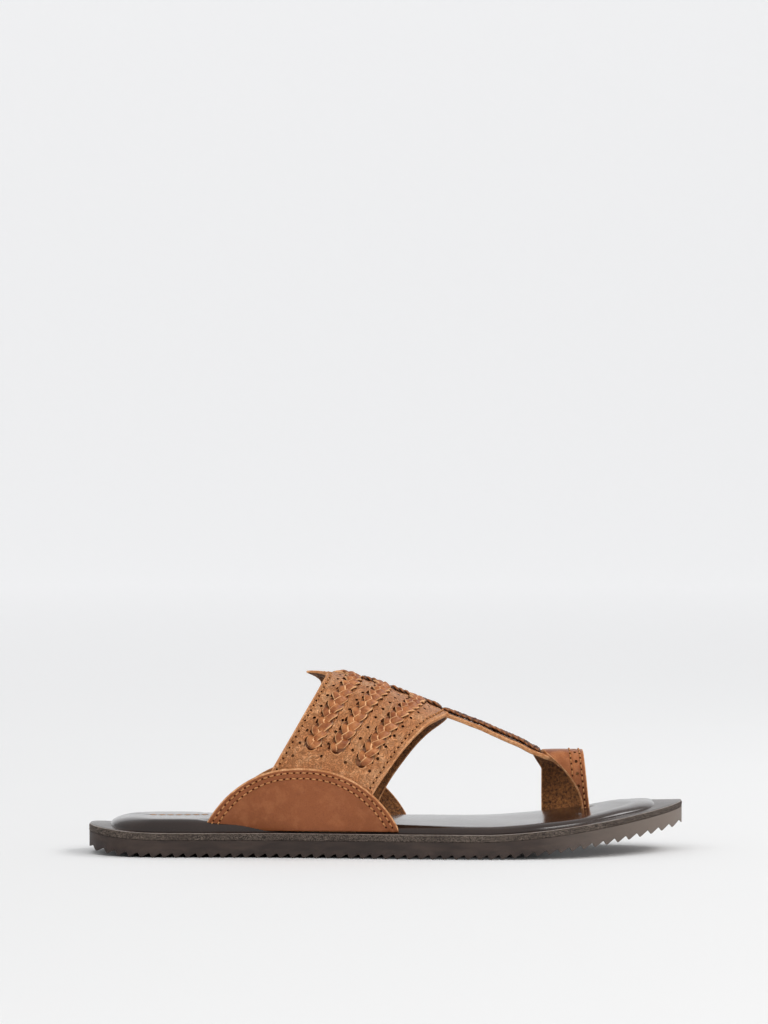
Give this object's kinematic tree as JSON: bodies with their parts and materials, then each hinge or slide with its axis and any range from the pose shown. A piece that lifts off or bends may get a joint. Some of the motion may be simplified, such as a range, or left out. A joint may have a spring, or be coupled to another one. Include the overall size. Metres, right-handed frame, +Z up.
{
  "type": "kolhapuri sandal",
  "caption": "Open leather sandal with a broad braided instep band, a centre strap to a big-toe ring, a padded footbed and a rippled rubber sole.",
  "frame": {"origin": "on the floor under the middle of the whole sandal's bounding box", "axes": "+X heel to toe, +Y towards the inner (big-toe) side, +Z up from the floor"},
  "size_m": [0.285, 0.0964, 0.0859],
  "materials": {
    "outsole_rubber": "matt dark brown moulded rubber",
    "midsole_board": "rough-cut speckled leather-board edge",
    "footbed_leather": "glossy dark brown smooth leather over foam",
    "band_leather": "semi-gloss tan grained leather with a fibrous flesh side",
    "panel_leather": "smooth satin tan leather",
    "raw_edge": "matt raw cut leather edge",
    "stitch_thread": "light tan waxed thread"
  },
  "bodies": {
    "root": {"outsole": "outsole_rubber", "midsole": "midsole_board", "footbed": "footbed_leather", "upper": "band_leather", "lateral_panel": "panel_leather", "medial_panel": "panel_leather"}
  },
  "joints": []
}
